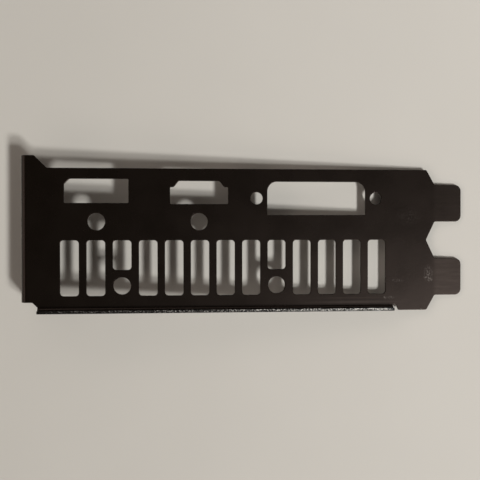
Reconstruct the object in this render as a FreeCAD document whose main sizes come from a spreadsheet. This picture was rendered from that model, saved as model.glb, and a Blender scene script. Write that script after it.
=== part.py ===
import FreeCAD, Part
import math
import os

import Sketcher

# Two-slot expansion card bracket: one steel sheet, punched flat and folded twice.
# It is drawn with its plate flat on XY and then laid down as it rests on a table.
#   X runs along the plate, from the outside of the screw tab to the tips of the tongues
#   Y runs across it, from the outside of the stiffening flange to the other long edge
#   Z is the sheet's thickness: 0 is the face that looks out of the computer
# The tab folds down from the plate and the flange folds up.

# Driving dimensions in millimetres: alias, value, what it measures
SIZES = [
    ("sheet_thickness", 0.8, "steel sheet"),
    ("bend_radius", 0.8, "inside radius of both folds"),
    ("plate_length", 120.02, "outside of the tab to the tongue tips"),
    ("plate_width", 38.74, "outside of the flange to the other long edge"),
    ("tab_depth", 11.43, "inner face of the plate to the free edge of the tab"),
    ("tab_inset", 2.89, "outside of the flange to the near side of the tab"),
    ("tab_flare", 3.3, "how far the tab stands out past the plate's long edge"),
    ("tab_land", 3.55, "straight side of the flare before its 45 degree slope"),
    ("tab_corner", 1.5, "corner radius of the tab's free edge"),
    ("screw_gap", 4.4, "width of both screw notches in the tab"),
    ("screw_drop", 5.6, "inner face of the plate to the screw axes"),
    ("screw_inset", 1.7, "flared side of the tab to the first screw axis"),
    ("flange_start", 4.31, "outside of the tab to the near end of the flange"),
    ("flange_length", 96.46, "flange end to end"),
    ("flange_height", 2.0, "inner face of the plate to the flange's cut edge"),
    ("flange_corner", 0.4, "corner radius at both ends of the flange"),
    ("relief_root", 0.85, "relief notch beside the flange, at its root"),
    ("relief_mouth", 1.5, "relief notch at the plate's edge"),
    ("tongue_pitch", 20.32, "slot to slot"),
    ("tongue_width", 10.19, "each tongue"),
    ("tongue_length", 7.49, "root of the tongues to their tips"),
    ("tongue_corner", 1.7, "corner radius of the tongue tips"),
    ("shoulder_cut", 2.3, "how far the sloping shoulders reach back from the roots"),
    ("fork_depth", 2.42, "how far the fork between the tongues reaches back"),
    ("slot_first", 12.73, "outside of the tab to the middle of the first vent slot"),
    ("slot_pitch", 6.953, "vent slot to vent slot"),
    ("slot_width", 4.92, "each vent slot"),
    ("slot_top", 19.42, "outside of the flange to the upper ends of the vent slots"),
    ("slot_height", 14.87, "a full vent slot"),
    ("short_slot_height", 7.92, "a vent slot that stops above a round hole"),
    ("slot_corner", 0.9, "corner radius of the vent slots"),
    ("round_hole", 4.6, "diameter of the four plain round holes"),
    ("low_hole_height", 7.21, "outside of the flange to the holes under the short slots"),
    ("high_hole_height", 24.41, "outside of the flange to the holes under the small sockets"),
    ("keyed_middle", 19.85, "outside of the tab to the middle of the keyed cut-out"),
    ("keyed_width", 16.97, "cut-out for a small video socket with one cut corner"),
    ("keyed_height", 6.44, "the same cut-out"),
    ("keyed_bottom", 29.41, "outside of the flange to its lower side"),
    ("keyed_corner", 1.44, "its cut corner, along each side"),
    ("stepped_middle", 47.28, "outside of the tab to the middle of the stepped cut-out"),
    ("stepped_width", 15.63, "cut-out for a small video socket with sloping shoulders"),
    ("stepped_height", 6.21, "the same cut-out"),
    ("stepped_bottom", 29.18, "outside of the flange to its lower side"),
    ("stepped_wall", 4.53, "height of its upright sides"),
    ("stepped_ledge", 1.0, "ledge between each upright side and its slope"),
    ("stepped_slope", 1.35, "how far each slope runs in"),
    ("wide_middle", 79.4, "outside of the tab to the middle of the wide cut-out"),
    ("wide_width", 27.17, "cut-out for the wide video socket"),
    ("wide_height", 9.04, "the same cut-out"),
    ("wide_bottom", 26.25, "outside of the flange to its lower side"),
    ("wide_corner", 2.7, "radius of its two rounded corners"),
    ("jack_pitch", 33.0, "jack screw to jack screw, either side of the wide socket"),
    ("jack_hole", 3.3, "diameter of the jack screw holes"),
]

# Vent slots in their row, counted from the tab: runs of full ones, and the short ones between
FULL_SLOT_RUNS = [range(0, 2), range(3, 8), range(9, 13)]
SHORT_SLOTS = [2, 8]

# Places that more than one feature uses, as expressions over the sheet's cells
BEND_OUTSIDE = "(Sizes.bend_radius + Sizes.sheet_thickness)"
TAB_SIDE = "(Sizes.plate_width + Sizes.tab_flare)"
TAB_DROP = "(Sizes.tab_depth - Sizes.sheet_thickness)"
TONGUE_ROOT = "(Sizes.plate_length - Sizes.tongue_length)"
FLANGE_END = "(Sizes.flange_start + Sizes.flange_length)"
MIDDLE = "(Sizes.plate_width / 2)"
JACK_HEIGHT = "(Sizes.wide_bottom + Sizes.wide_height / 2)"
REST_TILT = f"atan({TAB_DROP} / (Sizes.plate_length - Sizes.sheet_thickness))"

# How a sketch numbers its own two axes, and the points of one of its lines, arcs or circles
ACROSS_AXIS, UP_AXIS = range(-1, -3, -1)
START, END, CENTRE = range(1, 4)
ORIGIN = (ACROSS_AXIS, START)

doc = FreeCAD.newDocument("SlotBracket")
sizes = doc.addObject("Spreadsheet::Sheet", "Sizes")
for row, (alias, size, meaning) in enumerate(SIZES, start=1):
    sizes.set(f"A{row}", alias)
    sizes.set(f"B{row}", str(size))
    sizes.set(f"C{row}", meaning)
    sizes.setAlias(f"B{row}", alias)
doc.recompute()

body = doc.addObject("PartDesign::Body", "SlotBracket")
body.Label = "slot_bracket"


def number(expression):
    """The present value of an expression over the sheet's cells."""
    return float(sizes.evalExpression(expression))


def place(corner):
    """The point that a pair of expressions gives."""
    return FreeCAD.Vector(number(corner[0]), number(corner[1]), 0)


def new_sketch(name, plane, offset=None):
    """A sketch on one of the body's origin planes, moved along that plane's normal by offset."""
    sketch = body.newObject("Sketcher::SketchObject", name)
    support = next(item for item in body.Origin.OriginFeatures if item.Role == plane)
    sketch.AttachmentSupport = (support, [""])
    sketch.MapMode = "FlatFace"
    if offset:
        sketch.setExpression("AttachmentOffset.Base.z", offset)
    doc.recompute()
    return sketch


def bind(sketch, kind, items, expression):
    """Adds a dimension to a sketch and ties it to an expression."""
    index = sketch.addConstraint(Sketcher.Constraint(kind, *items, number(expression)))
    sketch.setExpression(f"Constraints[{index}]", expression)


def pin(sketch, point, corner):
    """Ties a point of a sketch to a pair of expressions, measured from the sketch's origin."""
    for kind, axis, expression in zip(("DistanceX", "DistanceY"), (UP_AXIS, ACROSS_AXIS), corner):
        amount = number(expression)
        if amount == 0:
            sketch.addConstraint(Sketcher.Constraint("PointOnObject", *point, axis))
        elif amount > 0:
            bind(sketch, kind, (*ORIGIN, *point), expression)
        else:
            bind(sketch, kind, (*point, *ORIGIN), f"-({expression})")


def arc_between(start, end, centre):
    """The shorter arc about centre from start to end, and which of its ends each of them is."""
    radius = (start - centre).Length
    first, last = [math.atan2(point.y - centre.y, point.x - centre.x) for point in (start, end)]
    circle = Part.Circle(centre, FreeCAD.Vector(0, 0, 1), radius)
    if (last - first) % (2 * math.pi) < math.pi:
        return Part.ArcOfCircle(circle, first, last), START, END
    return Part.ArcOfCircle(circle, last, first), END, START


def draw_outline(sketch, corners):
    """Draws a closed outline. A corner is (x, y), or (x, y, centre x, centre y, radius) where an arc leaves it."""
    sides = []
    for corner, following in zip(corners, corners[1:] + corners[:1]):
        arc = corner[2:]
        if arc:
            side, *ends = arc_between(place(corner), place(following), place(arc))
        else:
            side = Part.LineSegment(place(corner), place(following))
            ends = (START, END)
        sides.append((sketch.addGeometry(side), *ends))
    for side, following in zip(sides, sides[1:] + sides[:1]):
        sketch.addConstraint(Sketcher.Constraint("Coincident", side[0], side[2], following[0], following[1]))
    for (side, start, _), (x, y, *arc) in zip(sides, corners):
        pin(sketch, (side, start), (x, y))
        if arc:
            bind(sketch, "Radius", (side,), arc[-1])


def draw_circle(sketch, middle, diameter):
    """Draws a hole about a pair of expressions."""
    circle = Part.Circle(place(middle), FreeCAD.Vector(0, 0, 1), number(diameter) / 2)
    index = sketch.addGeometry(circle)
    pin(sketch, (index, CENTRE), middle)
    bind(sketch, "Diameter", (index,), diameter)


def box_corners(left, right, bottom, top, low_radius, high_radius):
    """Corners of a box for draw_outline, anticlockwise. A radius of None leaves that pair of corners sharp."""
    turns = [
        (left, "+", bottom, "+", low_radius, "upright first"),
        (right, "-", bottom, "+", low_radius, "level first"),
        (right, "-", top, "-", high_radius, "upright first"),
        (left, "+", top, "-", high_radius, "level first"),
    ]
    corners = []
    for x, inward_x, y, inward_y, radius, order in turns:
        if radius is None:
            corners.append((x, y))
            continue
        centre = (f"{x} {inward_x} {radius}", f"{y} {inward_y} {radius}")
        on_sides = [(x, centre[1]), (centre[0], y)]
        if order == "level first":
            on_sides.reverse()
        corners.append((*on_sides[0], *centre, radius))
        corners.append(on_sides[1])
    return corners


def pad(name, sketch, length, reverse=False):
    """Adds a sketch's outline to the body as a solid of that length."""
    feature = body.newObject("PartDesign::Pad", name)
    feature.Profile = sketch
    feature.Reversed = reverse
    feature.setExpression("Length", length)
    body.Tip = feature
    doc.recompute()


def punch(name, sketch):
    """Cuts a sketch's outlines through the sheet, along the sketch's normal, and stops if nothing was cut."""
    before = body.Tip.Shape.Volume
    feature = body.newObject("PartDesign::Pocket", name)
    feature.Profile = sketch
    feature.Type = "ThroughAll"
    feature.Reversed = True
    body.Tip = feature
    doc.recompute()
    if feature.Shape.Volume >= before:
        raise RuntimeError(f"{name} cut nothing")
    return feature


def repeat(name, feature, sketch, spacing, count):
    """Repeats a cut along X."""
    pattern = body.newObject("PartDesign::LinearPattern", name)
    pattern.Originals = [feature]
    pattern.Direction = (sketch, ["H_Axis"])
    pattern.Mode = "Spacing"
    pattern.setExpression("Offset", spacing)
    pattern.Occurrences = count
    body.Tip = pattern
    doc.recompute()


def round_edges(name, belongs, radius):
    """Rounds those straight edges of the body that belongs(edge) picks."""
    base = body.Tip
    picked = []
    for index, edge in enumerate(base.Shape.Edges, start=1):
        if isinstance(edge.Curve, Part.Line) and belongs(edge):
            picked.append(f"Edge{index}")
    if not picked:
        raise RuntimeError(f"{name} found no edges")
    feature = body.newObject("PartDesign::Fillet", name)
    feature.Base = (base, picked)
    feature.setExpression("Radius", radius)
    body.Tip = feature
    doc.recompute()


def runs_along(edge, direction):
    """Whether a straight edge is parallel to a direction."""
    along = edge.Vertexes[1].Point - edge.Vertexes[0].Point
    return abs(abs(along.normalize() * direction) - 1) < 1e-6


def make_plate():
    """The flat of the sheet, from the tab's fold and the flange's fold to the tongues."""
    width = "Sizes.plate_width"
    length = "Sizes.plate_length"
    half_tongue = "Sizes.tongue_width / 2"
    low = f"{MIDDLE} - Sizes.tongue_pitch / 2"
    high = f"{MIDDLE} + Sizes.tongue_pitch / 2"
    slope_start = f"Sizes.flange_start - (Sizes.tab_inset - {BEND_OUTSIDE})"
    corners = [
        (BEND_OUTSIDE, "Sizes.tab_inset"),
        (slope_start, "Sizes.tab_inset"),
        ("Sizes.flange_start", BEND_OUTSIDE),
        (f"{FLANGE_END} + Sizes.relief_root", BEND_OUTSIDE),
        (f"{FLANGE_END} + Sizes.relief_mouth", "0"),
        (f"{TONGUE_ROOT} - Sizes.shoulder_cut", "0"),
        (TONGUE_ROOT, f"{low} - {half_tongue}"),
        (length, f"{low} - {half_tongue}"),
        (length, f"{low} + {half_tongue}"),
        (TONGUE_ROOT, f"{low} + {half_tongue}"),
        (f"{TONGUE_ROOT} - Sizes.fork_depth", MIDDLE),
        (TONGUE_ROOT, f"{high} - {half_tongue}"),
        (length, f"{high} - {half_tongue}"),
        (length, f"{high} + {half_tongue}"),
        (TONGUE_ROOT, f"{high} + {half_tongue}"),
        (f"{TONGUE_ROOT} - Sizes.shoulder_cut", width),
        ("Sizes.tab_land + Sizes.tab_flare", width),
        ("Sizes.tab_land", TAB_SIDE),
        (BEND_OUTSIDE, TAB_SIDE),
    ]
    sketch = new_sketch("PlateOutline", "XY_Plane")
    draw_outline(sketch, corners)
    pad("Plate", sketch, "Sizes.sheet_thickness")


def fold_corners(outside_face, inside_face, bend_centre, cut_edge):
    """Section of a fold, from heights: the plate's face outside the bend, the one inside it, the bend's centre and
    the leg's cut edge."""
    wall = "Sizes.sheet_thickness"
    return [
        (BEND_OUTSIDE, outside_face, BEND_OUTSIDE, bend_centre, BEND_OUTSIDE),
        ("0", bend_centre),
        ("0", cut_edge),
        (wall, cut_edge),
        (wall, bend_centre, BEND_OUTSIDE, bend_centre, "Sizes.bend_radius"),
        (BEND_OUTSIDE, inside_face),
    ]


def make_tab():
    """The screw tab, folded down from the end of the plate."""
    sketch = new_sketch("TabSection", "XZ_Plane", "-Sizes.tab_inset")
    draw_outline(sketch, fold_corners("Sizes.sheet_thickness", "0", "-Sizes.bend_radius", f"-{TAB_DROP}"))
    pad("Tab", sketch, f"{TAB_SIDE} - Sizes.tab_inset", reverse=True)


def make_flange():
    """The low stiffening flange, folded up along one long edge."""
    sketch = new_sketch("FlangeSection", "YZ_Plane", "Sizes.flange_start")
    top = "Sizes.sheet_thickness + Sizes.flange_height"
    draw_outline(sketch, fold_corners("0", "Sizes.sheet_thickness", BEND_OUTSIDE, top))
    pad("Flange", sketch, "Sizes.flange_length")


def cut_keyed_socket():
    """Cut-out for the small video socket with one cut corner."""
    left = "Sizes.keyed_middle - Sizes.keyed_width / 2"
    right = "Sizes.keyed_middle + Sizes.keyed_width / 2"
    top = "Sizes.keyed_bottom + Sizes.keyed_height"
    sketch = new_sketch("KeyedSocket", "XY_Plane")
    draw_outline(sketch, [
        (left, "Sizes.keyed_bottom"),
        (right, "Sizes.keyed_bottom"),
        (right, top),
        (f"{left} + Sizes.keyed_corner", top),
        (left, f"{top} - Sizes.keyed_corner"),
    ])
    punch("KeyedCutout", sketch)


def cut_stepped_socket():
    """Cut-out for the small video socket whose shoulders step and slope in."""
    left = "Sizes.stepped_middle - Sizes.stepped_width / 2"
    right = "Sizes.stepped_middle + Sizes.stepped_width / 2"
    ledge = "Sizes.stepped_bottom + Sizes.stepped_wall"
    top = "Sizes.stepped_bottom + Sizes.stepped_height"
    slope_end = "Sizes.stepped_ledge + Sizes.stepped_slope"
    sketch = new_sketch("SteppedSocket", "XY_Plane")
    draw_outline(sketch, [
        (left, "Sizes.stepped_bottom"),
        (right, "Sizes.stepped_bottom"),
        (right, ledge),
        (f"{right} - Sizes.stepped_ledge", ledge),
        (f"{right} - ({slope_end})", top),
        (f"{left} + {slope_end}", top),
        (f"{left} + Sizes.stepped_ledge", ledge),
        (left, ledge),
    ])
    punch("SteppedCutout", sketch)


def cut_wide_socket():
    """Cut-out for the wide video socket, with its two jack screw holes."""
    left = "Sizes.wide_middle - Sizes.wide_width / 2"
    right = "Sizes.wide_middle + Sizes.wide_width / 2"
    top = "Sizes.wide_bottom + Sizes.wide_height"
    sketch = new_sketch("WideSocket", "XY_Plane")
    draw_outline(sketch, box_corners(left, right, "Sizes.wide_bottom", top, None, "Sizes.wide_corner"))
    for side in ("-", "+"):
        draw_circle(sketch, (f"Sizes.wide_middle {side} Sizes.jack_pitch / 2", JACK_HEIGHT), "Sizes.jack_hole")
    punch("WideCutout", sketch)


def slot_middle(index):
    """Middle of a vent slot, counted from the tab."""
    return f"Sizes.slot_first + {index} * Sizes.slot_pitch"


def cut_round_holes():
    """The plain round holes, one under each small socket and one under each short slot."""
    sketch = new_sketch("RoundHoleCentres", "XY_Plane")
    for middle in ("Sizes.keyed_middle", "Sizes.stepped_middle"):
        draw_circle(sketch, (middle, "Sizes.high_hole_height"), "Sizes.round_hole")
    for index in SHORT_SLOTS:
        draw_circle(sketch, (slot_middle(index), "Sizes.low_hole_height"), "Sizes.round_hole")
    punch("RoundHoles", sketch)


def cut_slot(name, index, height):
    """One vent slot, hung from the row's upper line."""
    left = f"{slot_middle(index)} - Sizes.slot_width / 2"
    right = f"{slot_middle(index)} + Sizes.slot_width / 2"
    bottom = f"Sizes.slot_top - {height}"
    corner = "Sizes.slot_corner"
    sketch = new_sketch(f"{name}Outline", "XY_Plane")
    draw_outline(sketch, box_corners(left, right, bottom, "Sizes.slot_top", corner, corner))
    return punch(name, sketch), sketch


def cut_vent_slots():
    """The row of vent slots: runs of full ones, with short ones between."""
    for run in FULL_SLOT_RUNS:
        slot, sketch = cut_slot(f"FullSlot{run.start}", run.start, "Sizes.slot_height")
        repeat(f"FullSlots{run.start}", slot, sketch, "Sizes.slot_pitch", len(run))
    first, second = SHORT_SLOTS
    slot, sketch = cut_slot("ShortSlot", first, "Sizes.short_slot_height")
    repeat("ShortSlots", slot, sketch, f"{second - first} * Sizes.slot_pitch", len(SHORT_SLOTS))


def cut_screw_notches():
    """The tab's two screw notches: one open to the flared side, one open to the free edge."""
    half = "Sizes.screw_gap / 2"
    axis_height = "(Sizes.sheet_thickness - Sizes.screw_drop)"
    first = f"({TAB_SIDE} - Sizes.screw_inset)"
    second = f"({first} - Sizes.tongue_pitch)"
    sketch = new_sketch("ScrewNotchOutlines", "YZ_Plane")
    draw_outline(sketch, [
        (TAB_SIDE, f"{axis_height} + {half}"),
        (first, f"{axis_height} + {half}", first, axis_height, half),
        (f"{first} - {half}", axis_height, first, axis_height, half),
        (first, f"{axis_height} - {half}"),
        (TAB_SIDE, f"{axis_height} - {half}"),
    ])
    draw_outline(sketch, [
        (f"{second} - {half}", f"-{TAB_DROP}"),
        (f"{second} + {half}", f"-{TAB_DROP}"),
        (f"{second} + {half}", axis_height, second, axis_height, half),
        (second, f"{axis_height} + {half}", second, axis_height, half),
        (f"{second} - {half}", axis_height),
    ])
    punch("ScrewNotches", sketch)


def round_corners():
    """Rounds the tongue tips, the tab's free corners and the flange's ends."""
    along_x, along_y, along_z = FreeCAD.Vector(1, 0, 0), FreeCAD.Vector(0, 1, 0), FreeCAD.Vector(0, 0, 1)
    near = 1e-6
    tip = number("Sizes.plate_length")
    tab_end = -number(TAB_DROP)
    tab_sides = [number("Sizes.tab_inset"), number(TAB_SIDE)]
    flange_top = number("Sizes.sheet_thickness + Sizes.flange_height")
    flange_ends = [number("Sizes.flange_start"), number(FLANGE_END)]

    def at_tongue_tip(edge):
        return runs_along(edge, along_z) and abs(edge.CenterOfMass.x - tip) < near

    def at_tab_corner(edge):
        middle = edge.CenterOfMass
        at_side = min(abs(middle.y - side) for side in tab_sides) < near
        return runs_along(edge, along_x) and abs(middle.z - tab_end) < near and at_side

    def at_flange_corner(edge):
        middle = edge.CenterOfMass
        at_end = min(abs(middle.x - end) for end in flange_ends) < near
        return runs_along(edge, along_y) and abs(middle.z - flange_top) < near and at_end

    round_edges("TongueCorners", at_tongue_tip, "Sizes.tongue_corner")
    round_edges("TabCorners", at_tab_corner, "Sizes.tab_corner")
    round_edges("FlangeCorners", at_flange_corner, "Sizes.flange_corner")


def lay_down():
    """Lays the bracket on the table: on the free edge of its tab and the tips of its tongues, flange up."""
    tip_reach = f"Sizes.plate_length * cos({REST_TILT}) + Sizes.sheet_thickness * sin({REST_TILT})"
    tab_reach = f"{TAB_DROP} * sin({REST_TILT})"
    about_y = FreeCAD.Rotation(FreeCAD.Vector(0, 1, 0), number(REST_TILT))
    body.Placement = FreeCAD.Placement(FreeCAD.Vector(), about_y)
    body.setExpression("Placement.Rotation.Angle", REST_TILT)
    body.setExpression("Placement.Base.x", f"-({tip_reach} - {tab_reach}) / 2")
    body.setExpression("Placement.Base.y", f"-{TAB_SIDE} / 2")
    body.setExpression("Placement.Base.z", f"Sizes.plate_length * sin({REST_TILT})")
    doc.recompute()


def check_and_write():
    """Stops on any failed object, then writes the sub-part under its label."""
    for item in doc.Objects:
        if "Invalid" in item.State or "Error" in item.State:
            raise RuntimeError(f"{item.Name} failed: {item.State}")
    if body.Shape.isNull() or not body.Shape.isValid():
        raise RuntimeError(f"{body.Label} has no valid shape")
    if len(body.Shape.Solids) != 1:
        raise RuntimeError(f"{body.Label} is {len(body.Shape.Solids)} solids")
    os.makedirs("parts", exist_ok=True)
    body.Shape.exportStep(f"parts/{body.Label}.step")


make_plate()
make_tab()
make_flange()
cut_keyed_socket()
cut_stepped_socket()
cut_wide_socket()
cut_round_holes()
cut_vent_slots()
cut_screw_notches()
round_corners()
lay_down()
check_and_write()
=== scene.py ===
"""Models a two-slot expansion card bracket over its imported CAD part, paints it and sets it on a floor.

The bracket is made as a press shop makes it: the sheet is punched flat, its cut edges are rounded by the
paint, and then the screw tab is folded down and the stiffening flange up. Inside the bracket all places are
in plate coordinates: X runs from the outside of the tab to the tips of the tongues, Y from the outside of
the flange across the plate, and Z through the sheet, from the outer face to the inner one, which lies
upwards.
"""

import math
from collections import namedtuple
from types import SimpleNamespace

import bmesh
import bpy
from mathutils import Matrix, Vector


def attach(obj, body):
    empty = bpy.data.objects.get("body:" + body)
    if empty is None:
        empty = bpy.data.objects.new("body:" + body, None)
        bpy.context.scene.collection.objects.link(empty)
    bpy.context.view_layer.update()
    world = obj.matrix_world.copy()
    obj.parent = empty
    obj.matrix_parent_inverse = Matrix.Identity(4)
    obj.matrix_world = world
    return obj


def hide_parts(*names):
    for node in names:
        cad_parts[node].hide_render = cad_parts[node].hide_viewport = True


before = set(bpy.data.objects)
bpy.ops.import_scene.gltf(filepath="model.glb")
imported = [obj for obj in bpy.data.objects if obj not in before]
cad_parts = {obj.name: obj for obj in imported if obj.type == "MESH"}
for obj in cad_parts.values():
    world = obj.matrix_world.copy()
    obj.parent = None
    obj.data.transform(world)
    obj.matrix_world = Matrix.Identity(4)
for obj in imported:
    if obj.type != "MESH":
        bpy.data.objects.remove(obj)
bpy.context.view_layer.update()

bl_info = {
    "name": "Expansion card bracket",
    "version": (1, 0, 0),
    "blender": (4, 5, 0),
    "location": "3D View > Sidebar > Bracket",
    "description": "Punches, folds and paints a two-slot expansion card bracket, and sets its stage",
    "category": "Object",
}

MM = 0.001

# Vent slots in their row, counted from 0 at the tab. The short ones stop above a round hole.
SLOT_COUNT = 13
SHORT_SLOTS = (2, 8)

# Corners of the first wire, which only opens a mesh to draw in and goes again
FIRST_CORNERS = 3

# Chord that arcs are drawn with, in millimetres, and the fewest chords in a corner
ARC_STEP = 0.25
LEAST_CHORDS = 2

# Steps round a cut edge's rim and round a fold, and rows of faces across a cut edge
RIM_STEPS = 3
FOLD_STEPS = 10
WALL_ROWS = 4

# The flange's edge is sheared, and the paint on it is thin and broken: cuts along it, how far it is torn in
# millimetres, the draw's seed, and the place of its material, after the paint's
TEAR_COUNT = 240
TEAR_DEPTH = 0.03
TEAR_SEED = 7
EDGE_MATERIAL = 1

# Faces that meet at less than this are shaded as one curve
SMOOTH_ANGLE = math.radians(35)

# How far a face's normal points up or down: a wall's less than the first, a flat's more than the second,
# and a rim's between the two
WALL_MOST, FLAT_LEAST = 0.01, 0.99

# How far two places may differ and still be the same point, in millimetres
SAME_PLACE = 1e-3

# Patterns in the finishes, in millimetres. The powder's own grain and the paper's fibres are about a tenth
# of the sizes here, and are drawn coarser so that they show.
DUST_PATCH = 9.0
GRAIN = 0.45
ORANGE_PEEL = 0.9
PEEL_DEPTH = 0.004
STREAK_LENGTH, STREAK_WIDTH = 5.0, 0.6
TEAR_LENGTH, TEAR_WIDTH = 0.4, 0.3
PAPER_MOTTLE = 40.0
# Half the run of a painted light falloff across the paper, from shaded beyond the tab to lit past the
# tongues
PAPER_PAINTED_FALLOFF = 110.0
PAPER_FIBRE = 0.6
FIBRE_DEPTH = 0.01

# How many finer layers of noise each pattern has
DUST_DETAIL = 4.0
GRAIN_DETAIL = 2.0
PEEL_DETAIL = 1.0
STREAK_DETAIL = 2.0
TEAR_DETAIL = 3.0
PAPER_DETAIL = 3.0

# Noise lies between 0 and 1, mostly near the middle: the part of it that makes dust, streaks and specks,
# and the share of rub that is left between two streaks
DUST_LOW, DUST_HIGH = 0.3, 0.7
STREAK_LOW, STREAK_HIGH = 0.3, 0.7
SPECK_LOW, SPECK_HIGH = 0.45, 0.65
STREAK_GAP = 0.5

# The computer's case has rubbed the tongues, the lower one more: shares of rubbed paint, and how far to
# either side of a border it fades, in millimetres
LOW_TONGUE_RUB, HIGH_TONGUE_RUB = 0.6, 0.2
RUB_FADE = 0.9

# Noise past which steel shows on the sheared edge, near the tab and near the tongues, and how much more it
# takes to be all bare
BARE_AT_TAB, BARE_AT_TONGUES = 0.58, 0.4
BARE_FADE = 0.15

# The sheared edge is still painted near its ends and along its outer rim: how far, and over how much more
# bare steel comes in, in millimetres
PAINTED_START, PAINTED_END, PAINTED_RIM = 2.0, 0.6, 0.08
START_FADE, END_FADE, RIM_FADE = 3.0, 1.0, 0.2

# Spots on the inner face, in plate millimetres: the middle, how far each reaches along and across, and its
# strength. Scuffs are wear that breaks into bare specks. The smooth streaks are a painted reflection.
MarkedSpot = namedtuple("MarkedSpot", "place reach strength")
SCUFFS = (
    MarkedSpot((110.8, 10.0), (1.5, 2.8), 0.35),
    MarkedSpot((110.2, 9.0), (0.9, 0.6), 0.5),
    MarkedSpot((111.2, 8.3), (1.0, 0.6), 0.5),
    MarkedSpot((101.8, 8.2), (2.2, 0.5), 0.25),
    MarkedSpot((98.5, 3.5), (0.7, 0.5), 0.5),
    MarkedSpot((100.2, 3.5), (1.1, 0.5), 0.5),
    MarkedSpot((105.0, 25.7), (4.0, 3.0), 0.05),
)
# Painted reflection of the flange's edge: two smooth pale streaks on the plate just beside the flange, in
# the rubbed paint's colour
PAINTED_FLANGE_REFLECTIONS = (
    MarkedSpot((90.0, 2.35), (16.0, 0.5), 0.55),
    MarkedSpot((88.0, 3.5), (14.0, 0.3), 0.3),
)

# Softboxes: where each hangs, as a direction from the bracket, and its share of the lamp power
Softbox = namedtuple("Softbox", "name direction share")
SOFTBOXES = (
    Softbox("main_softbox", (0.62, -0.60, 1.0), 1.1),
    Softbox("second_softbox", (0.62, -0.383, 1.0), 0.85),
)

# The room, by how high a direction points, from 0 level to 1 straight up: where the walls' light comes in,
# and where the dim ceiling takes over
WALL_LOW, WALL_HIGH = 0.25, 0.55
CEILING_LOW, CEILING_HIGH = 0.55, 0.8

# The room's lightest wall, as a direction from the bracket, the share of the walls' light on the side
# across from it and on its own, and how far towards either side that share is reached, from 0 to 1
LIGHT_WALL = (-1.0, 0.0, 0.0)
DIM_SIDE, LIGHT_SIDE = 0.2, 1.8
SIDE_REACH = 0.6

# The floor's paper curves up far from the bracket: sides of the round floor, steps of the curve and how
# steep it gets
FLOOR_SIDES = 96
SWEEP_STEPS = 8
SWEEP_ANGLE = math.radians(40)


def linear(hexadecimal):
    """Linear red, green and blue of an sRGB colour such as #c8c2b9, by the standard's own curve."""
    channels = [int(hexadecimal[start:start + 2], 16) / 255 for start in (1, 3, 5)]
    return [
        channel / 12.92 if channel <= 0.04045 else ((channel + 0.055) / 1.055) ** 2.4
        for channel in channels
    ]


def length(name, millimetres, description):
    """A length that the user can change, given in millimetres and kept in metres."""
    return bpy.props.FloatProperty(
        name=name, description=description, default=millimetres * MM, min=0.0, unit="LENGTH", precision=5)


def colour(name, hexadecimal, description):
    """A colour that the user can change."""
    return bpy.props.FloatVectorProperty(
        name=name, description=description, default=linear(hexadecimal), min=0.0, max=1.0, subtype="COLOR")


def share(name, amount, description):
    """A number from 0 to 1 that the user can change."""
    return bpy.props.FloatProperty(
        name=name, description=description, default=amount, min=0.0, max=1.0, subtype="FACTOR")


def opaque(paint):
    """A colour as a node's socket takes it."""
    return (*paint, 1.0)


class SheetSizes(bpy.types.PropertyGroup):
    """The bracket's sheet, its outline and its folds."""

    thickness: length("Sheet", 0.8, "Thickness of the steel sheet")
    bend: length("Bend", 0.8, "Inside radius of both folds")
    rim: length("Rim", 0.12, "Radius that the paint gives to a cut edge")
    ease: length("Ease", 0.25, "How far along each side a corner that isn't rounded is eased")
    plate_length: length("Length", 120.02, "Outside of the tab to the tongue tips")
    plate_width: length("Width", 38.74, "Outside of the flange to the other long edge")
    tab_depth: length("Tab depth", 11.43, "Inner face of the plate to the free edge of the tab")
    tab_inset: length("Tab inset", 2.89, "Outside of the flange to the near side of the tab")
    tab_flare: length("Tab flare", 3.3, "How far the tab stands out past the plate's long edge")
    tab_land: length("Tab land", 3.55, "Straight side of the flare before its 45 degree slope")
    tab_corner: length("Tab corner", 1.5, "Corner radius of the tab's free edge")
    screw_gap: length("Screw gap", 4.4, "Width of both screw notches in the tab")
    screw_drop: length("Screw drop", 5.6, "Inner face of the plate to the screw axes")
    screw_inset: length("Screw inset", 1.7, "Flared side of the tab to the first screw axis")
    flange_start: length("Flange start", 4.31, "Outside of the tab to the near end of the flange")
    flange_length: length("Flange length", 96.46, "Flange end to end")
    flange_height: length("Flange height", 2.0, "Inner face of the plate to the flange's cut edge")
    flange_corner: length("Flange corner", 0.4, "Corner radius at both ends of the flange")
    relief_root: length("Relief root", 0.85, "Relief notch beside the flange, at its root")
    relief_mouth: length("Relief mouth", 1.5, "Relief notch at the plate's edge")
    tongue_pitch: length("Tongue pitch", 20.32, "Slot to slot")
    tongue_width: length("Tongue width", 10.19, "Each tongue")
    tongue_length: length("Tongue length", 7.49, "Root of the tongues to their tips")
    tongue_corner: length("Tongue corner", 1.7, "Corner radius of the tongue tips")
    shoulder_cut: length("Shoulder", 2.3, "How far the sloping shoulders reach back from the roots")
    fork_depth: length("Fork", 2.42, "How far the fork between the tongues reaches back")


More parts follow.
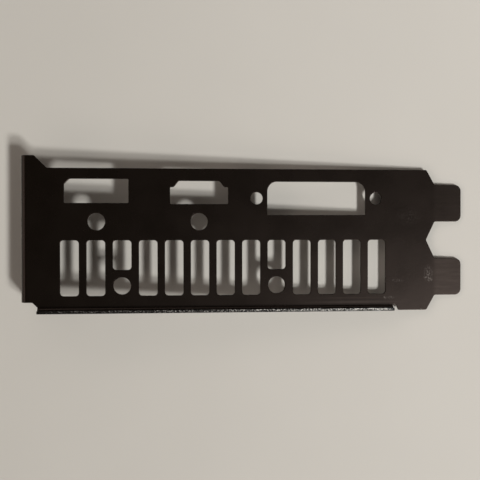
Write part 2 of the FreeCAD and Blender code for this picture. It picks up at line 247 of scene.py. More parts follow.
class OpeningSizes(bpy.types.PropertyGroup):
    """The openings that are punched through the plate."""

    slot_first: length("First slot", 12.73, "Outside of the tab to the middle of the first vent slot")
    slot_pitch: length("Slot pitch", 6.953, "Vent slot to vent slot")
    slot_width: length("Slot width", 4.92, "Each vent slot")
    slot_top: length("Slot top", 19.42, "Outside of the flange to the upper ends of the vent slots")
    slot_height: length("Slot height", 14.87, "A full vent slot")
    short_slot_height: length("Short slot", 7.92, "A vent slot that stops above a round hole")
    slot_corner: length("Slot corner", 0.9, "Corner radius of the vent slots")
    round_hole: length("Round hole", 4.6, "Diameter of the four plain round holes")
    low_hole_height: length("Low holes", 7.21, "Outside of the flange to the holes under the short slots")
    high_hole_height: length("High holes", 24.41, "Outside of the flange to those under the small sockets")
    keyed_middle: length("Keyed place", 19.85, "Outside of the tab to the middle of the keyed cut-out")
    keyed_width: length("Keyed width", 16.97, "Cut-out for a small video socket with one cut corner")
    keyed_height: length("Keyed height", 6.44, "The same cut-out")
    keyed_bottom: length("Keyed bottom", 29.41, "Outside of the flange to its lower side")
    keyed_corner: length("Keyed corner", 1.44, "Its cut corner, along each side")
    stepped_middle: length("Stepped place", 47.28, "Outside of the tab to the stepped cut-out's middle")
    stepped_width: length("Stepped width", 15.63, "Cut-out for a small video socket with sloping shoulders")
    stepped_height: length("Stepped height", 6.21, "The same cut-out")
    stepped_bottom: length("Stepped bottom", 29.18, "Outside of the flange to its lower side")
    stepped_wall: length("Stepped wall", 4.53, "Height of its upright sides")
    stepped_ledge: length("Stepped ledge", 1.0, "Ledge between each upright side and its slope")
    stepped_slope: length("Stepped slope", 1.35, "How far each slope runs in")
    wide_middle: length("Wide place", 79.4, "Outside of the tab to the middle of the wide cut-out")
    wide_width: length("Wide width", 27.17, "Cut-out for the wide video socket")
    wide_height: length("Wide height", 9.04, "The same cut-out")
    wide_bottom: length("Wide bottom", 26.25, "Outside of the flange to its lower side")
    wide_corner: length("Wide corner", 2.7, "Radius of its two rounded corners")
    jack_pitch: length("Jack pitch", 33.0, "Jack screw to jack screw, either side of the wide socket")
    jack_hole: length("Jack hole", 3.3, "Diameter of the jack screw holes")


class FinishSettings(bpy.types.PropertyGroup):
    """The paint, its wear and the bare edge."""

    paint: colour("Paint", "#050301", "Black powder coat")
    bloom: colour("Bloom", "#0a0603", "The same paint where dust dulls it")
    # Pale paint of the rubbed tongues, also used for the painted reflection of the flange's edge on the
    # plate
    rubbed_and_painted_reflection: colour("Rubbed paint", "#2b2521", "Paint that the computer's case has rubbed pale")
    scuff: colour("Scuff", "#8d857f", "Scratches and specks in the paint")
    steel: colour("Bare steel", "#908b85", "Dull steel that shows along the sheared edge")
    gloss_tint: colour("Gloss tint", "#ebd0c3", "Warm cast of the paint's gloss")
    paint_ior: bpy.props.FloatProperty(
        name="Paint IOR", description="Refractive index of the paint's binder",
        default=1.5, min=1.0, max=2.0)
    satin: share("Paint roughness", 0.26, "Satin powder coat")
    dusty: share("Dusty roughness", 0.29, "The same paint where dust dulls it")
    dull: share("Rubbed roughness", 0.34, "The same paint where it is rubbed")
    steel_roughness: share("Steel roughness", 0.42, "The torn part of a sheared edge")


class StageSettings(bpy.types.PropertyGroup):
    """The floor, the lamps, the room and the camera."""

    # The paper carries a painted light falloff: its colour at the lit end past the tongues, then at the
    # shaded end beyond the tab
    paper: colour("Paper", "#d0cac1", "The pale sheet that the bracket lies on, at its palest")
    paper_painted_shade: colour("Paper shade", "#b5afa6", "The same sheet at its darkest, beyond the tab")
    paper_mottling: share("Mottling", 0.2, "How uneven the sheet's tone is")
    paper_roughness: share("Paper roughness", 0.9, "Uncoated paper")
    floor_radius: length("Floor", 1500.0, "Radius of the flat part of the floor")
    sweep_radius: length("Sweep", 2000.0, "Radius that the floor curves up with, round its flat part")
    lamp_distance: length("Lamp distance", 18000.0, "Bracket to each softbox")
    lamp_size: length("Lamp size", 2040.0, "Side of each square softbox")
    lamp_power: bpy.props.FloatProperty(
        name="Lamp power", description="Radiant power of a softbox whose share is 1, in watts",
        default=1600.0, min=0.0, unit="POWER")
    lamp_tint: colour("Lamp tint", "#fbfeff", "Faintly cool cast of the softboxes")
    room_tint: colour("Room tint", "#f7eee8", "Warm cast of the room's light, which fills the shadows")
    skirting_light: share("Skirting light", 0.03, "Brightness of the room at the horizon")
    wall_light: share("Wall light", 0.9, "Brightness of the room's walls")
    ceiling_light: share("Ceiling light", 0.03, "Brightness of the room overhead")
    camera_place: bpy.props.FloatVectorProperty(
        name="Camera", description="Where the camera stands", default=(-0.00209277, 0.00052119, 0.22104432),
        subtype="TRANSLATION", unit="LENGTH", precision=5)
    camera_turn: bpy.props.FloatVectorProperty(
        name="Camera turn", description="Turn away from looking straight down",
        default=[math.radians(turn) for turn in (-0.55838, -0.24478, -0.06830)],
        subtype="EULER", unit="ROTATION")
    lens: bpy.props.FloatProperty(
        name="Lens", description="Focal length on a 36 mm sensor", default=59.407, min=1.0, unit="CAMERA")


class BracketSettings(bpy.types.PropertyGroup):
    """Everything that the sidebar shows."""

    sheet: bpy.props.PointerProperty(type=SheetSizes)
    openings: bpy.props.PointerProperty(type=OpeningSizes)
    finish: bpy.props.PointerProperty(type=FinishSettings)
    stage: bpy.props.PointerProperty(type=StageSettings)


def in_millimetres(*groups):
    """The lengths of some groups in millimetres, with the places that more than one function uses."""
    sizes = SimpleNamespace()
    for group in groups:
        for key in type(group).__annotations__:
            setattr(sizes, key, getattr(group, key) / MM)
    sizes.fold = sizes.bend + sizes.thickness
    sizes.fold_run = (sizes.bend + sizes.thickness / 2) * math.pi / 2
    sizes.tab_side = sizes.plate_width + sizes.tab_flare
    sizes.tab_drop = sizes.tab_depth - sizes.thickness
    sizes.tab_end = sizes.fold - sizes.fold_run - (sizes.tab_drop - sizes.bend)
    sizes.flange_end = sizes.flange_start + sizes.flange_length
    sizes.flange_top = sizes.thickness + sizes.flange_height
    sizes.flange_edge = sizes.fold - sizes.fold_run - (sizes.flange_top - sizes.fold)
    sizes.tongue_root = sizes.plate_length - sizes.tongue_length
    sizes.middle = sizes.plate_width / 2
    sizes.tilt = math.atan(sizes.tab_drop / (sizes.plate_length - sizes.thickness))
    return sizes


def resting_place(sizes):
    """Plate millimetres to the part's frame: it lies on the tab's free edge and the tips of the tongues."""
    tip_reach = sizes.plate_length * math.cos(sizes.tilt) + sizes.thickness * math.sin(sizes.tilt)
    tab_reach = sizes.tab_drop * math.sin(sizes.tilt)
    height = sizes.plate_length * math.sin(sizes.tilt)
    place = Vector((-(tip_reach - tab_reach) / 2, -sizes.tab_side / 2, height))
    return SimpleNamespace(location=place * MM, rotation=(0.0, sizes.tilt, 0.0), scale=(MM, MM, MM))


def sheet_corners(sizes):
    """Outline of the flat sheet before it is folded, anticlockwise, as (x, y, corner radius)."""
    half = sizes.tongue_width / 2
    low = sizes.middle - sizes.tongue_pitch / 2
    high = sizes.middle + sizes.tongue_pitch / 2
    shoulder = sizes.tongue_root - sizes.shoulder_cut
    gap = sizes.screw_gap / 2
    axis = sizes.fold - sizes.fold_run - (sizes.screw_drop - sizes.fold)
    first = sizes.tab_side - sizes.screw_inset
    second = first - sizes.tongue_pitch
    return [
        (sizes.tab_end, sizes.tab_inset, sizes.tab_corner),
        (sizes.flange_start - (sizes.tab_inset - sizes.fold), sizes.tab_inset, sizes.ease),
        (sizes.flange_start, sizes.fold, 0.0),
        (sizes.flange_start, sizes.flange_edge, sizes.flange_corner),
        (sizes.flange_end, sizes.flange_edge, sizes.flange_corner),
        (sizes.flange_end, sizes.fold, 0.0),
        (sizes.flange_end + sizes.relief_root, sizes.fold, sizes.ease),
        (sizes.flange_end + sizes.relief_mouth, 0.0, sizes.ease),
        (shoulder, 0.0, sizes.ease),
        (sizes.tongue_root, low - half, sizes.ease),
        (sizes.plate_length, low - half, sizes.tongue_corner),
        (sizes.plate_length, low + half, sizes.tongue_corner),
        (sizes.tongue_root, low + half, sizes.ease),
        (sizes.tongue_root - sizes.fork_depth, sizes.middle, sizes.ease),
        (sizes.tongue_root, high - half, sizes.ease),
        (sizes.plate_length, high - half, sizes.tongue_corner),
        (sizes.plate_length, high + half, sizes.tongue_corner),
        (sizes.tongue_root, high + half, sizes.ease),
        (shoulder, sizes.plate_width, sizes.ease),
        (sizes.tab_land + sizes.tab_flare, sizes.plate_width, sizes.ease),
        (sizes.tab_land, sizes.tab_side, sizes.ease),
        (axis + gap, sizes.tab_side, sizes.ease),
        (axis + gap, first - gap, gap),
        (axis - gap, first - gap, gap),
        (axis - gap, sizes.tab_side, sizes.ease),
        (sizes.tab_end, sizes.tab_side, sizes.tab_corner),
        (sizes.tab_end, second + gap, sizes.ease),
        (axis + gap, second + gap, gap),
        (axis + gap, second - gap, gap),
        (sizes.tab_end, second - gap, sizes.ease),
    ]


def box_corners(middle, bottom, width, height, low_radius, high_radius):
    """Corners of an upright box, anticlockwise, as (x, y, corner radius)."""
    left, right = middle - width / 2, middle + width / 2
    return [
        (left, bottom, low_radius),
        (right, bottom, low_radius),
        (right, bottom + height, high_radius),
        (left, bottom + height, high_radius),
    ]


def slot_middle(sizes, index):
    """Middle of a vent slot, counted from the tab."""
    return sizes.slot_first + index * sizes.slot_pitch


def slot_corners(sizes, index):
    """Corners of a vent slot, which hangs from the row's upper line."""
    height = sizes.short_slot_height if index in SHORT_SLOTS else sizes.slot_height
    bottom = sizes.slot_top - height
    corner = sizes.slot_corner
    return box_corners(slot_middle(sizes, index), bottom, sizes.slot_width, height, corner, corner)


def keyed_corners(sizes):
    """Corners of the cut-out for the small video socket with one cut corner."""
    ease, cut = sizes.ease, sizes.keyed_corner
    width, height = sizes.keyed_width, sizes.keyed_height
    box = box_corners(sizes.keyed_middle, sizes.keyed_bottom, width, height, ease, ease)
    left, top, _ = box.pop()
    return [*box, (left + cut, top, ease), (left, top - cut, ease)]


def stepped_corners(sizes):
    """Corners of the cut-out for the small video socket whose shoulders step and slope in."""
    left = sizes.stepped_middle - sizes.stepped_width / 2
    right = sizes.stepped_middle + sizes.stepped_width / 2
    ledge = sizes.stepped_bottom + sizes.stepped_wall
    top = sizes.stepped_bottom + sizes.stepped_height
    slope_end = sizes.stepped_ledge + sizes.stepped_slope
    places = [
        (left, sizes.stepped_bottom),
        (right, sizes.stepped_bottom),
        (right, ledge),
        (right - sizes.stepped_ledge, ledge),
        (right - slope_end, top),
        (left + slope_end, top),
        (left + sizes.stepped_ledge, ledge),
        (left, ledge),
    ]
    return [(x, y, sizes.ease) for x, y in places]


def wide_corners(sizes):
    """Corners of the cut-out for the wide video socket."""
    width, height = sizes.wide_width, sizes.wide_height
    return box_corners(sizes.wide_middle, sizes.wide_bottom, width, height, sizes.ease, sizes.wide_corner)


def round_holes(sizes):
    """The round holes, as (x, y, diameter)."""
    jack_height = sizes.wide_bottom + sizes.wide_height / 2
    return [
        (sizes.keyed_middle, sizes.high_hole_height, sizes.round_hole),
        (sizes.stepped_middle, sizes.high_hole_height, sizes.round_hole),
        *((slot_middle(sizes, index), sizes.low_hole_height, sizes.round_hole) for index in SHORT_SLOTS),
        (sizes.wide_middle - sizes.jack_pitch / 2, jack_height, sizes.jack_hole),
        (sizes.wide_middle + sizes.jack_pitch / 2, jack_height, sizes.jack_hole),
    ]


def edited_mesh():
    """The mesh that is being edited."""
    return bmesh.from_edit_mesh(bpy.context.object.data)


def select_vertices(wanted):
    """Selects just the vertices whose place wanted(place) picks, and stops if there are none."""
    bpy.ops.mesh.select_all(action="DESELECT")
    mesh = edited_mesh()
    picked = [vertex for vertex in mesh.verts if wanted(vertex.co)]
    if not picked:
        raise RuntimeError("no vertex lies where one should be selected")
    for vertex in picked:
        vertex.select_set(True)
    mesh.select_flush_mode()
    bmesh.update_edit_mesh(bpy.context.object.data)


def select_faces(wanted):
    """Selects just the faces that wanted(face) picks, and stops if there are none."""
    bpy.ops.mesh.select_all(action="DESELECT")
    mesh = edited_mesh()
    picked = [face for face in mesh.faces if wanted(face)]
    if not picked:
        raise RuntimeError("no face lies where one should be selected")
    for face in picked:
        face.select_set(True)
    bmesh.update_edit_mesh(bpy.context.object.data)


def draw_outline(corners):
    """Draws a closed wire through some corners, given anticlockwise as (x, y, radius), and rounds them."""
    bpy.ops.mesh.select_all(action="DESELECT")
    bpy.ops.mesh.primitive_circle_add(vertices=len(corners), fill_type="NOTHING")
    ring = [vertex for vertex in edited_mesh().verts if vertex.select]
    ring.sort(key=lambda vertex: math.atan2(vertex.co.y, vertex.co.x))
    for vertex, (x, y, _) in zip(ring, corners):
        vertex.co = (x, y, 0.0)
    for radius in sorted({radius for _, _, radius in corners if radius > 0.0}):
        like = [Vector((x, y, 0.0)) for x, y, corner in corners if corner == radius]
        select_vertices(lambda place: min((place - corner).length for corner in like) < SAME_PLACE)
        steps = max(LEAST_CHORDS, round(radius * math.pi / 2 / ARC_STEP))
        bpy.ops.mesh.bevel(offset=radius, segments=steps, affect="VERTICES", clamp_overlap=False)


def draw_circle(x, y, diameter):
    """Draws a circular wire."""
    bpy.ops.mesh.select_all(action="DESELECT")
    steps = round(diameter * math.pi / ARC_STEP)
    bpy.ops.mesh.primitive_circle_add(
        vertices=steps, radius=diameter / 2, location=(x, y, 0.0), fill_type="NOTHING")


def punch_sheet(sizes):
    """Draws the sheet's outline and openings as wires and fills the flat between them."""
    draw_outline(sheet_corners(sizes))
    for index in range(SLOT_COUNT):
        draw_outline(slot_corners(sizes, index))
    draw_outline(keyed_corners(sizes))
    draw_outline(stepped_corners(sizes))
    draw_outline(wide_corners(sizes))
    for hole in round_holes(sizes):
        draw_circle(*hole)
    select_vertices(lambda place: abs(place.y - sizes.flange_edge) < SAME_PLACE)
    bpy.ops.mesh.subdivide(number_cuts=TEAR_COUNT)
    bpy.ops.mesh.select_all(action="SELECT")
    bpy.ops.mesh.remove_doubles(threshold=SAME_PLACE)
    bpy.ops.mesh.fill()


def round_rim(sizes):
    """Rounds the edge of the faces that are selected, in steps that each go in and outwards."""
    angles = [step * math.pi / 2 / RIM_STEPS for step in range(RIM_STEPS + 1)]
    for start, end in zip(angles, angles[1:]):
        inwards = sizes.rim * (math.cos(start) - math.cos(end))
        outwards = sizes.rim * (math.sin(end) - math.sin(start))
        bpy.ops.mesh.inset(thickness=inwards, depth=outwards)


def thicken_sheet(sizes):
    """Gives the flat its thickness and rounds both rims of every cut edge."""
    bpy.ops.transform.translate(value=(0.0, 0.0, sizes.rim))
    rise = (sizes.thickness - 2 * sizes.rim) / WALL_ROWS
    for _ in range(WALL_ROWS):
        bpy.ops.mesh.extrude_region_move(TRANSFORM_OT_translate={"value": (0.0, 0.0, rise)})
    bpy.ops.mesh.select_all(action="SELECT")
    bpy.ops.mesh.normals_make_consistent(inside=False)
    for side in (1, -1):
        select_faces(lambda face: face.normal.z * side > FLAT_LEAST)
        round_rim(sizes)
    select_faces(lambda face: not WALL_MOST < abs(face.normal.z) < FLAT_LEAST)
    bpy.ops.mesh.mod_weighted_strength(set=True, face_strength="STRONG")


def fold_sheet(sizes):
    """Folds the tab down and the flange up."""
    for step in range(FOLD_STEPS + 1):
        past = sizes.fold - sizes.fold_run * step / FOLD_STEPS
        for normal in ((1.0, 0.0, 0.0), (0.0, 1.0, 0.0)):
            bpy.ops.mesh.select_all(action="SELECT")
            place = [past * along for along in normal]
            bpy.ops.mesh.bisect(plane_co=place, plane_no=normal, threshold=SAME_PLACE)
    flange_limit = sizes.flange_end + sizes.relief_root / 2
    for vertex in edited_mesh().verts:
        x, y, z = vertex.co
        if x < sizes.fold:
            vertex.co.x, vertex.co.z = folded(sizes, x, z)
        elif y < sizes.fold and x < flange_limit:
            vertex.co.y, from_inside = folded(sizes, y, sizes.thickness - z)
            vertex.co.z = sizes.thickness - from_inside
    bmesh.update_edit_mesh(bpy.context.object.data)


def folded(sizes, along, height):
    """Where a fold takes a point, from its place along the sheet and its height over the fold's inside."""
    past = sizes.fold - along
    turn = min(past / sizes.fold_run, 1.0) * math.pi / 2
    radius = sizes.bend + height
    straight = max(past - sizes.fold_run, 0.0)
    return sizes.fold - radius * math.sin(turn), radius * math.cos(turn) - sizes.bend - straight


def tear_edge(sizes):
    """Gives the flange's sheared edge its own material and roughens it, inside the CAD part's height."""
    select_faces(lambda face: face.calc_center_median().z > sizes.flange_top - sizes.rim)
    bpy.context.object.active_material_index = EDGE_MATERIAL
    bpy.ops.object.material_slot_assign()
    select_vertices(lambda place: place.z > sizes.flange_top - SAME_PLACE)
    bpy.ops.transform.translate(value=(0.0, 0.0, -TEAR_DEPTH))
    bpy.ops.transform.vertex_random(offset=TEAR_DEPTH, seed=TEAR_SEED)


def shade_sheet(sheet):
    """Shades the flats as flat and the rims and folds as round. It comes before the sheet is scaled to
    metres, where its faces would be too small to weigh."""
    bpy.ops.object.shade_smooth_by_angle(angle=SMOOTH_ANGLE)
    bpy.ops.object.modifier_add(type="WEIGHTED_NORMAL")
    weighing = sheet.modifiers[-1]
    weighing.keep_sharp = True
    weighing.use_face_influence = True
    bpy.ops.object.modifier_apply(modifier=weighing.name)


def add_node(tree, kind, inputs=None, **settings):
    """Adds a node with its settings. An input is named or numbered, and is given a value, an output to
    link, or a node whose first output in use is linked."""
    node = tree.nodes.new(kind)
    for key, value in settings.items():
        setattr(node, key, value)
    for key, value in (inputs or {}).items():
        named = [socket for socket in node.inputs if socket.name == key and socket.enabled]
        socket = named[0] if named else node.inputs[key]
        if isinstance(value, bpy.types.Node):
            value = next(output for output in value.outputs if output.enabled)
        if isinstance(value, bpy.types.NodeSocket):
            tree.links.new(value, socket)
        else:
            socket.default_value = value
    return node


def new_tree(owner):
    """The emptied node tree of a material or a world."""
    owner.use_nodes = True
    owner.node_tree.nodes.clear()
    return owner.node_tree


def plate_place(tree, resting):
    """Object coordinates turned into plate millimetres."""
    place = add_node(tree, "ShaderNodeTexCoord")
    return add_node(tree, "ShaderNodeMapping", {
        "Vector": place.outputs["Object"],
        "Location": resting.location,
        "Rotation": resting.rotation,
        "Scale": resting.scale,
    }, vector_type="TEXTURE")


def rubs_and_painted_reflections(tree, sizes, plate, axes):
    """Share of pale paint: rubbed streaks along the tongues, more on the lower, and the smooth painted
    reflection of the flange's edge on the plate beside it.
    """
    on_tongues = add_node(tree, "ShaderNodeMapRange", {
        "Value": axes.outputs["X"],
        "From Min": sizes.tongue_root - RUB_FADE,
        "From Max": sizes.tongue_root + RUB_FADE,
    }, interpolation_type="SMOOTHSTEP")
    each_tongue = add_node(tree, "ShaderNodeMapRange", {
        "Value": axes.outputs["Y"],
        "From Min": sizes.middle - RUB_FADE,
        "From Max": sizes.middle + RUB_FADE,
        "To Min": LOW_TONGUE_RUB,
        "To Max": HIGH_TONGUE_RUB,
    })
    drawn_out = add_node(tree, "ShaderNodeMapping", {
        "Vector": plate, "Scale": (1 / STREAK_LENGTH, 1 / STREAK_WIDTH, 1 / STREAK_WIDTH)})
    streaks = add_node(tree, "ShaderNodeTexNoise", {
        "Vector": drawn_out, "Scale": 1.0, "Detail": STREAK_DETAIL})
    uneven = add_node(tree, "ShaderNodeMapRange", {
        "Value": streaks, "From Min": STREAK_LOW, "From Max": STREAK_HIGH, "To Min": STREAK_GAP})
    rub = add_node(tree, "ShaderNodeMath", {0: on_tongues, 1: each_tongue}, operation="MULTIPLY")
    streaked = add_node(tree, "ShaderNodeMath", {0: rub, 1: uneven}, operation="MULTIPLY")
    # The smooth streaks added here are a painted reflection of the flange's edge
    return wear_and_reflection_spots(tree, sizes, plate, PAINTED_FLANGE_REFLECTIONS, streaked)


def wear_and_reflection_spots(tree, sizes, plate, places, worn):
    """Share of marked paint: spots on the inner face, each fading outwards, added to the share marked
    already.
    They are scuffs of wear, and beside the flange streaks of painted reflection.
    """
    for wear in places:
        spot = add_node(tree, "ShaderNodeMapping", {
            "Vector": plate,
            "Location": (*wear.place, sizes.thickness),
            "Scale": (*wear.reach, sizes.thickness / 2),
        }, vector_type="TEXTURE")
        near = add_node(tree, "ShaderNodeTexGradient", {"Vector": spot}, gradient_type="SPHERICAL")
        worn = add_node(tree, "ShaderNodeMath", {
            0: near, 1: wear.strength, 2: worn}, operation="MULTIPLY_ADD")
    return worn


def powder_coat(sizes, finish, resting):
    """Satin black powder coat, sprayed on and baked."""
    # The eye sees a near black, faintly brown film with a soft broad gloss, fine orange peel and a little
    # dust, rubbed on the tongues and scuffed where a used bracket is, with a painted reflection of the
    # flange's edge as pale streaks on the plate beside it
    material = bpy.data.materials.new("satin_black_powder_coat")
    tree = new_tree(material)
    plate = plate_place(tree, resting)
    axes = add_node(tree, "ShaderNodeSeparateXYZ", {"Vector": plate})
    dust = add_node(tree, "ShaderNodeTexNoise", {
        "Vector": plate, "Scale": 1 / DUST_PATCH, "Detail": DUST_DETAIL})
    grain = add_node(tree, "ShaderNodeTexNoise", {
        "Vector": plate, "Scale": 1 / GRAIN, "Detail": GRAIN_DETAIL})
    peel = add_node(tree, "ShaderNodeTexNoise", {
        "Vector": plate, "Scale": 1 / ORANGE_PEEL, "Detail": PEEL_DETAIL})
    # rub holds the tongues' rubbed streaks and the painted reflection of the flange's edge beside it
    rub = rubs_and_painted_reflections(tree, sizes, plate, axes)
    scuffs = wear_and_reflection_spots(tree, sizes, plate, SCUFFS, 0.0)
    specks = add_node(tree, "ShaderNodeMapRange", {
        "Value": grain, "From Min": SPECK_LOW, "From Max": SPECK_HIGH})
    worn = add_node(tree, "ShaderNodeMath", {0: scuffs, 1: specks}, operation="MULTIPLY", use_clamp=True)
    film = add_node(tree, "ShaderNodeMix", {
        "Factor": dust, "A": opaque(finish.paint), "B": opaque(finish.bloom)}, data_type="RGBA")
    rubbed_and_painted_reflection = add_node(tree, "ShaderNodeMix", {
        "Factor": rub, "A": film, "B": opaque(finish.rubbed_and_painted_reflection)}, data_type="RGBA")
    scuffed = add_node(tree, "ShaderNodeMix", {
        "Factor": worn, "A": rubbed_and_painted_reflection, "B": opaque(finish.scuff)}, data_type="RGBA")
    satin = add_node(tree, "ShaderNodeMapRange", {
        "Value": dust,
        "From Min": DUST_LOW,
        "From Max": DUST_HIGH,
        "To Min": finish.satin,
        "To Max": finish.dusty,
    })
    dull = add_node(tree, "ShaderNodeMix", {"Factor": rub, "A": satin, "B": finish.dull}, data_type="FLOAT")
    relief = add_node(tree, "ShaderNodeBump", {"Height": peel, "Distance": PEEL_DEPTH * MM})
    shader = add_node(tree, "ShaderNodeBsdfPrincipled", {
        "Base Color": scuffed,
        "Roughness": dull,
        "IOR": finish.paint_ior,
        "Specular Tint": opaque(finish.gloss_tint),
        "Normal": relief,
    })
    add_node(tree, "ShaderNodeOutputMaterial", {"Surface": shader})
    return material


def sheared_steel(sizes, finish, resting):
    """Cold rolled steel, sheared and thinly painted over."""
    # The eye sees a dark torn edge with bright bare specks, which lie closer together towards the tongues
    material = bpy.data.materials.new("sheared_steel_edge")
    tree = new_tree(material)
    plate = plate_place(tree, resting)
    axes = add_node(tree, "ShaderNodeSeparateXYZ", {"Vector": plate})
    drawn_out = add_node(tree, "ShaderNodeMapping", {
        "Vector": plate, "Scale": (1 / TEAR_LENGTH, 1 / TEAR_WIDTH, 1 / TEAR_WIDTH)})
    tears = add_node(tree, "ShaderNodeTexNoise", {
        "Vector": drawn_out, "Scale": 1.0, "Detail": TEAR_DETAIL})
    least = add_node(tree, "ShaderNodeMapRange", {
        "Value": axes.outputs["X"],
        "From Min": sizes.flange_start,
        "From Max": sizes.flange_end,
        "To Min": BARE_AT_TAB,
        "To Max": BARE_AT_TONGUES,
    })
    over = add_node(tree, "ShaderNodeMath", {0: tears, 1: least}, operation="SUBTRACT")
    torn = add_node(tree, "ShaderNodeMapRange", {"Value": over, "From Min": 0.0, "From Max": BARE_FADE})
    past_start = add_node(tree, "ShaderNodeMapRange", {
        "Value": axes.outputs["X"],
        "From Min": sizes.flange_start + PAINTED_START,
        "From Max": sizes.flange_start + PAINTED_START + START_FADE,
    })
    before_end = add_node(tree, "ShaderNodeMapRange", {
        "Value": axes.outputs["X"],
        "From Min": sizes.flange_end - PAINTED_END,
        "From Max": sizes.flange_end - PAINTED_END - END_FADE,
    })
    past_rim = add_node(tree, "ShaderNodeMapRange", {
        "Value": axes.outputs["Y"], "From Min": PAINTED_RIM, "From Max": PAINTED_RIM + RIM_FADE})
    bare = torn
    for limit in (past_start, before_end, past_rim):
        bare = add_node(tree, "ShaderNodeMath", {0: bare, 1: limit}, operation="MULTIPLY")
    metal = add_node(tree, "ShaderNodeMix", {
        "Factor": bare, "A": opaque(finish.bloom), "B": opaque(finish.steel)}, data_type="RGBA")
    relief = add_node(tree, "ShaderNodeBump", {"Height": tears, "Distance": TEAR_DEPTH * MM})
    gloss = add_node(tree, "ShaderNodeMix", {
        "Factor": bare, "A": finish.satin, "B": finish.steel_roughness}, data_type="FLOAT")
    shader = add_node(tree, "ShaderNodeBsdfPrincipled", {
        "Base Color": metal, "Metallic": bare, "Roughness": gloss, "Normal": relief})
    add_node(tree, "ShaderNodeOutputMaterial", {"Surface": shader})
    return material


def pale_paper(stage):
    """Matt uncoated paper, pressed from pulp."""
    # The eye sees an off-white without gloss, faintly mottled, and with a fine tooth of fibres. A painted
    # light falloff makes it paler towards the tongues and darker beyond the tab.
    material = bpy.data.materials.new("pale_matt_paper")
    tree = new_tree(material)
    place = add_node(tree, "ShaderNodeTexCoord").outputs["Object"]
    mottle = add_node(tree, "ShaderNodeTexNoise", {
        "Vector": place, "Scale": 1 / (PAPER_MOTTLE * MM), "Detail": PAPER_DETAIL})
    fibre = add_node(tree, "ShaderNodeTexNoise", {
        "Vector": place, "Scale": 1 / (PAPER_FIBRE * MM), "Detail": PAPER_DETAIL})
    axes = add_node(tree, "ShaderNodeSeparateXYZ", {"Vector": place})
    # Painted light falloff: the paper darkens towards the tab and pales past the tongues
    painted_falloff = add_node(tree, "ShaderNodeMapRange", {
        "Value": axes.outputs["X"], "From Min": -PAPER_PAINTED_FALLOFF * MM, "From Max": PAPER_PAINTED_FALLOFF * MM,
    }, interpolation_type="SMOOTHSTEP")
    # uneven blends the painted light falloff with the paper's real mottling
    uneven = add_node(tree, "ShaderNodeMix", {
        "Factor": stage.paper_mottling, "A": painted_falloff, "B": mottle}, data_type="FLOAT")
    sheet = add_node(tree, "ShaderNodeMix", {
        "Factor": uneven, "A": opaque(stage.paper_painted_shade), "B": opaque(stage.paper)}, data_type="RGBA")
    relief = add_node(tree, "ShaderNodeBump", {"Height": fibre, "Distance": FIBRE_DEPTH * MM})
    shader = add_node(tree, "ShaderNodeBsdfPrincipled", {
        "Base Color": sheet, "Roughness": stage.paper_roughness, "Normal": relief})
    add_node(tree, "ShaderNodeOutputMaterial", {"Surface": shader})
    return material


def lay_floor(stage):
    """The paper that the bracket lies on. It curves up far away, so that low views end in paper too."""
    bpy.ops.mesh.primitive_circle_add(
        vertices=FLOOR_SIDES, radius=stage.floor_radius, fill_type="NGON", enter_editmode=True)
    floor = bpy.context.object
    floor.name = "paper_floor"
    reach, height = stage.floor_radius, 0.0
    for step in range(SWEEP_STEPS):
        angle = SWEEP_ANGLE * (step + 1) / SWEEP_STEPS
        wider = stage.floor_radius + stage.sweep_radius * math.sin(angle)
        higher = stage.sweep_radius * (1 - math.cos(angle))
        bpy.ops.mesh.select_all(action="SELECT")
        bpy.ops.mesh.region_to_loop()
        bpy.ops.mesh.extrude_edges_move(TRANSFORM_OT_translate={"value": (0.0, 0.0, higher - height)})
        bpy.ops.transform.resize(value=(wider / reach, wider / reach, 1.0), center_override=(0.0, 0.0, 0.0))
        reach, height = wider, higher
    bpy.ops.object.mode_set(mode="OBJECT")
    bpy.ops.object.shade_smooth()
    floor.data.materials.append(pale_paper(stage))


def hang_lamps(stage):
    """Two far softboxes, whose shadows lie beside each other."""
    for softbox in SOFTBOXES:
        away = Vector(softbox.direction).normalized()
        turn = away.to_track_quat("Z", "Y").to_euler()
        bpy.ops.object.light_add(type="AREA", location=away * stage.lamp_distance, rotation=turn)
        lamp = bpy.context.object
        lamp.name = softbox.name
        lamp.data.energy = stage.lamp_power * softbox.share
        lamp.data.size = stage.lamp_size
        lamp.data.color = stage.lamp_tint


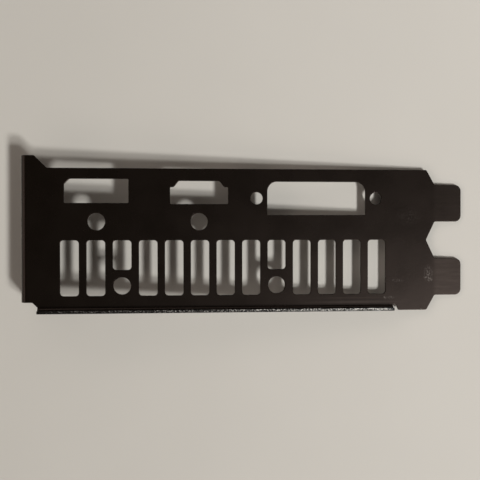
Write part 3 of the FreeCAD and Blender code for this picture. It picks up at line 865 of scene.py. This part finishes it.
def light_room(scene, stage):
    """A room whose walls are lit most half way up, one of them more than the rest, with a dim ceiling."""
    scene.world = bpy.data.worlds.new("studio_room")
    tree = new_tree(scene.world)
    direction = add_node(tree, "ShaderNodeTexCoord").outputs["Generated"]
    axes = add_node(tree, "ShaderNodeSeparateXYZ", {"Vector": direction})
    walls = add_node(tree, "ShaderNodeMapRange", {
        "Value": axes.outputs["Z"],
        "From Min": WALL_LOW,
        "From Max": WALL_HIGH,
        "To Min": stage.skirting_light,
        "To Max": stage.wall_light,
    }, interpolation_type="SMOOTHSTEP")
    towards = add_node(tree, "ShaderNodeVectorMath", {0: direction, 1: LIGHT_WALL}, operation="DOT_PRODUCT")
    side = add_node(tree, "ShaderNodeMapRange", {
        "Value": towards.outputs["Value"],
        "From Min": -SIDE_REACH,
        "From Max": SIDE_REACH,
        "To Min": DIM_SIDE,
        "To Max": LIGHT_SIDE,
    })
    lit = add_node(tree, "ShaderNodeMath", {0: walls, 1: side}, operation="MULTIPLY")
    overhead = add_node(tree, "ShaderNodeMapRange", {
        "Value": axes.outputs["Z"],
        "From Min": CEILING_LOW,
        "From Max": CEILING_HIGH,
    }, interpolation_type="SMOOTHSTEP")
    level = add_node(tree, "ShaderNodeMix", {
        "Factor": overhead, "A": lit, "B": stage.ceiling_light}, data_type="FLOAT")
    light = add_node(tree, "ShaderNodeBackground", {"Color": opaque(stage.room_tint), "Strength": level})
    add_node(tree, "ShaderNodeOutputWorld", {"Surface": light})


def place_camera(scene, stage):
    """The camera looks down on the bracket from a little over a hand's length."""
    bpy.ops.object.camera_add(location=stage.camera_place, rotation=stage.camera_turn)
    scene.camera = bpy.context.object
    scene.camera.data.lens = stage.lens


class MakeBracketSheet(bpy.types.Operator):
    """Punch, fold and paint the bracket's sheet"""

    bl_idname = "object.make_bracket_sheet"
    bl_label = "Bracket sheet"

    def execute(self, context):
        settings = context.scene.bracket
        sizes = in_millimetres(settings.sheet, settings.openings)
        resting = resting_place(sizes)
        bpy.ops.object.select_all(action="DESELECT")
        bpy.ops.mesh.primitive_circle_add(
            vertices=FIRST_CORNERS, fill_type="NOTHING", enter_editmode=True)
        sheet = context.object
        sheet.name = "bracket_sheet"
        bpy.ops.mesh.delete(type="VERT")
        sheet.data.materials.append(powder_coat(sizes, settings.finish, resting))
        sheet.data.materials.append(sheared_steel(sizes, settings.finish, resting))
        punch_sheet(sizes)
        thicken_sheet(sizes)
        fold_sheet(sizes)
        tear_edge(sizes)
        bpy.ops.object.mode_set(mode="OBJECT")
        shade_sheet(sheet)
        sheet.location = resting.location
        sheet.rotation_euler = resting.rotation
        sheet.scale = resting.scale
        bpy.ops.object.transform_apply(location=True, rotation=True, scale=True)
        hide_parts("slot_bracket")
        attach(sheet, "root")
        return {"FINISHED"}


class SetBracketStage(bpy.types.Operator):
    """Lay the floor, light the room and place the camera"""

    bl_idname = "scene.set_bracket_stage"
    bl_label = "Stage"

    def execute(self, context):
        stage = context.scene.bracket.stage
        bpy.ops.object.select_all(action="DESELECT")
        lay_floor(stage)
        hang_lamps(stage)
        light_room(context.scene, stage)
        place_camera(context.scene, stage)
        context.scene.view_settings.view_transform = "Standard"
        return {"FINISHED"}


class BracketPanel(bpy.types.Panel):
    """Sizes, finish and stage of the bracket"""

    bl_idname = "VIEW3D_PT_bracket"
    bl_label = "Expansion card bracket"
    bl_space_type = "VIEW_3D"
    bl_region_type = "UI"
    bl_category = "Bracket"

    def draw(self, context):
        settings = context.scene.bracket
        for title, group in (
            ("Sheet", settings.sheet),
            ("Openings", settings.openings),
            ("Finish", settings.finish),
            ("Stage", settings.stage),
        ):
            box = self.layout.box()
            box.label(text=title)
            for key in type(group).__annotations__:
                box.prop(group, key)
        self.layout.operator(MakeBracketSheet.bl_idname)
        self.layout.operator(SetBracketStage.bl_idname)


CLASSES = (
    SheetSizes,
    OpeningSizes,
    FinishSettings,
    StageSettings,
    BracketSettings,
    MakeBracketSheet,
    SetBracketStage,
    BracketPanel,
)


def register():
    for item in CLASSES:
        bpy.utils.register_class(item)
    bpy.types.Scene.bracket = bpy.props.PointerProperty(type=BracketSettings)


def unregister():
    del bpy.types.Scene.bracket
    for item in reversed(CLASSES):
        bpy.utils.unregister_class(item)


def main():
    """Makes the bracket and its stage."""
    register()
    bpy.ops.object.make_bracket_sheet()
    bpy.ops.scene.set_bracket_stage()


if __name__ == "__main__":
    main()
